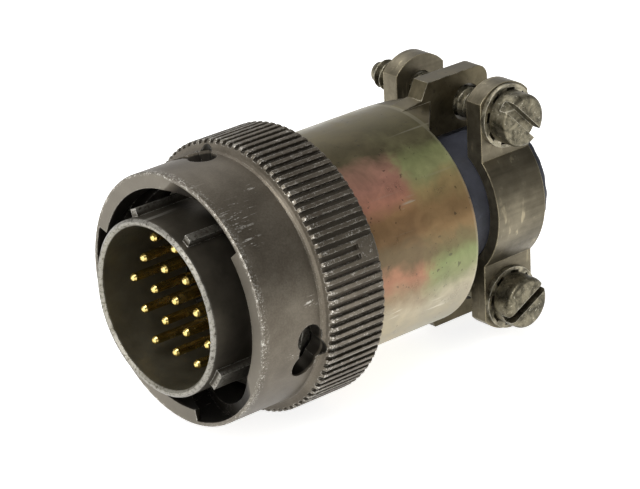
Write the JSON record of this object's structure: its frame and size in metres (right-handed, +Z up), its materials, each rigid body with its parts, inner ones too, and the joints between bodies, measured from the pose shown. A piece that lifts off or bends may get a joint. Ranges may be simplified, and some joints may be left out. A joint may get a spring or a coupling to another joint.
{
  "type": "circular connector plug",
  "caption": "Round cable plug with pin contacts in a keyed barrel, a knurled bayonet coupling ring and a saddle clamp that grips the cable behind it.",
  "frame": {"origin": "on the connector's axis at the mouth of the barrel", "axes": "+X along the connector from the mouth to the cable end, +Z up through the top clamp screw, +Y along the clamp screws from head to tip"},
  "size_m": [0.0496, 0.03, 0.03],
  "materials": {
    "shell_plating": "worn dark chromate over nickel, bright at the rim",
    "ring_plating": "worn olive-brown chromate, bright at edges",
    "spring_steel": "plain spring steel",
    "washer_plating": "plated steel",
    "insert_rubber": "dark resilient face",
    "insert_plastic": "hard dielectric",
    "grommet_rubber": "soft wire seal",
    "ferrule_plating": "yellow chromate",
    "contact_gold": "gold plated copper alloy",
    "backshell_plating": "iridescent yellow chromate",
    "gland_rubber": "blue-grey rubber",
    "bar_plating": "olive-brown chromate, brushed",
    "screw_plating": "pale yellow chromate",
    "lock_washer_plating": "pale yellow chromate"
  },
  "bodies": {
    "housing": {"plug_shell": "shell_plating", "wave_spring": "spring_steel", "retaining_ring": "spring_steel", "insert_face": "insert_rubber", "insert_body": "insert_plastic", "rear_grommet": "grommet_rubber", "grommet_ferrule": "ferrule_plating", "contact_pin_01": "contact_gold", "contact_pin_02": "contact_gold", "contact_pin_03": "contact_gold", "contact_pin_04": "contact_gold", "contact_pin_05": "contact_gold", "contact_pin_06": "contact_gold", "contact_pin_07": "contact_gold", "contact_pin_08": "contact_gold", "contact_pin_09": "contact_gold", "contact_pin_10": "contact_gold", "contact_pin_11": "contact_gold", "contact_pin_12": "contact_gold", "contact_pin_13": "contact_gold", "contact_pin_14": "contact_gold", "contact_pin_15": "contact_gold", "contact_pin_16": "contact_gold", "contact_pin_17": "contact_gold", "contact_pin_18": "contact_gold", "contact_pin_19": "contact_gold", "backshell": "backshell_plating", "gland": "gland_rubber", "clamp_bar_near": "bar_plating", "lock_washer_top": "lock_washer_plating", "lock_washer_bottom": "lock_washer_plating"},
    "ring_carriage": {"thrust_washer": "washer_plating"},
    "ring": {"coupling_ring": "ring_plating"},
    "screw_top": {"clamp_screw_top": "screw_plating"},
    "screw_bottom": {"clamp_screw_bottom": "screw_plating"},
    "far_bar": {"clamp_bar_far": "bar_plating"}
  },
  "joints": [
    {"name": "ring_float", "type": "slide", "parent": "housing", "child": "ring_carriage", "axis": [-1, 0, 0], "range_m": [0, 0.0008], "stiffness_N_per_m": 2000, "springref_m": -0.0005, "deforming": ["wave_spring"]},
    {"name": "ring_spin", "type": "hinge", "parent": "ring_carriage", "child": "ring", "pos_m": [0.014, 0, 0], "axis": [1, 0, 0], "continuous": true},
    {"name": "clamp_screw_top_turn", "type": "hinge", "parent": "housing", "child": "screw_top", "pos_m": [0.0439, 0, 0.01075], "axis": [0, 1, 0], "range_deg": [0, 936.5]},
    {"name": "clamp_screw_bottom_turn", "type": "hinge", "parent": "housing", "child": "screw_bottom", "pos_m": [0.0439, 0, -0.01075], "axis": [0, 1, 0], "range_deg": [0, 936.5]},
    {"name": "far_bar_travel", "type": "slide", "parent": "housing", "child": "far_bar", "axis": [0, -1, 0], "range_m": [0, 0.00234]}
  ],
  "couplings": [
    {"joint": "clamp_screw_top_turn", "follows": "far_bar_travel", "rad_per_m": 6981.3},
    {"joint": "clamp_screw_bottom_turn", "follows": "far_bar_travel", "rad_per_m": 6981.3}
  ]
}
